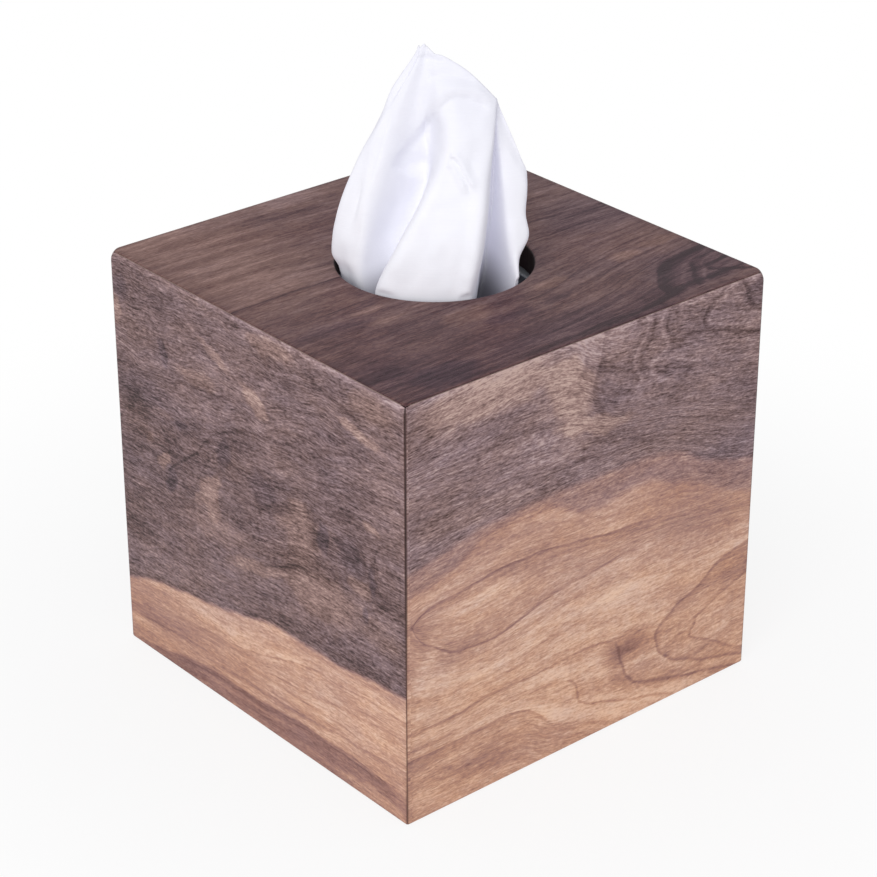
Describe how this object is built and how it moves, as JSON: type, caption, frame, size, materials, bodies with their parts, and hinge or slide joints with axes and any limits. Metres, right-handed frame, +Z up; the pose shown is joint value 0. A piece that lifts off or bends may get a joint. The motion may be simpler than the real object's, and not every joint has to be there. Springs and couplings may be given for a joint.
{
  "type": "tissue box cover",
  "caption": "Cube-shaped walnut cover with mitred edges and a round top hole, standing over a tissue carton with one tissue drawn up.",
  "frame": {"origin": "middle of the footprint, on the surface that the cover and the carton stand on", "axes": "+Z up; the front panel faces -Y and the left panel faces -X"},
  "size_m": [0.14, 0.14, 0.2072],
  "materials": {
    "walnut": "oiled, satin",
    "spline_ply": "sawn, unfinished",
    "paperboard": "matt coated",
    "tissue": "soft matt"
  },
  "bodies": {
    "carton": {"carton_shell": "paperboard", "tissue_stack": "tissue"},
    "cover": {"front_panel": "walnut", "back_panel": "walnut", "left_panel": "walnut", "right_panel": "walnut", "top_panel": "walnut", "corner_spline_front_left": "spline_ply", "corner_spline_front_right": "spline_ply", "corner_spline_back_left": "spline_ply", "corner_spline_back_right": "spline_ply", "top_spline_front": "spline_ply", "top_spline_back": "spline_ply", "top_spline_left": "spline_ply", "top_spline_right": "spline_ply"},
    "tissue": {"drawn_tissue": "tissue"}
  },
  "joints": [
    {"name": "cover_lift", "type": "slide", "parent": "carton", "child": "cover", "axis": [0, 0, 1], "range_m": [0, 0.21]},
    {"name": "tissue_pull", "type": "slide", "parent": "carton", "child": "tissue", "axis": [0, 0, 1], "range_m": [0, 0.1]}
  ]
}
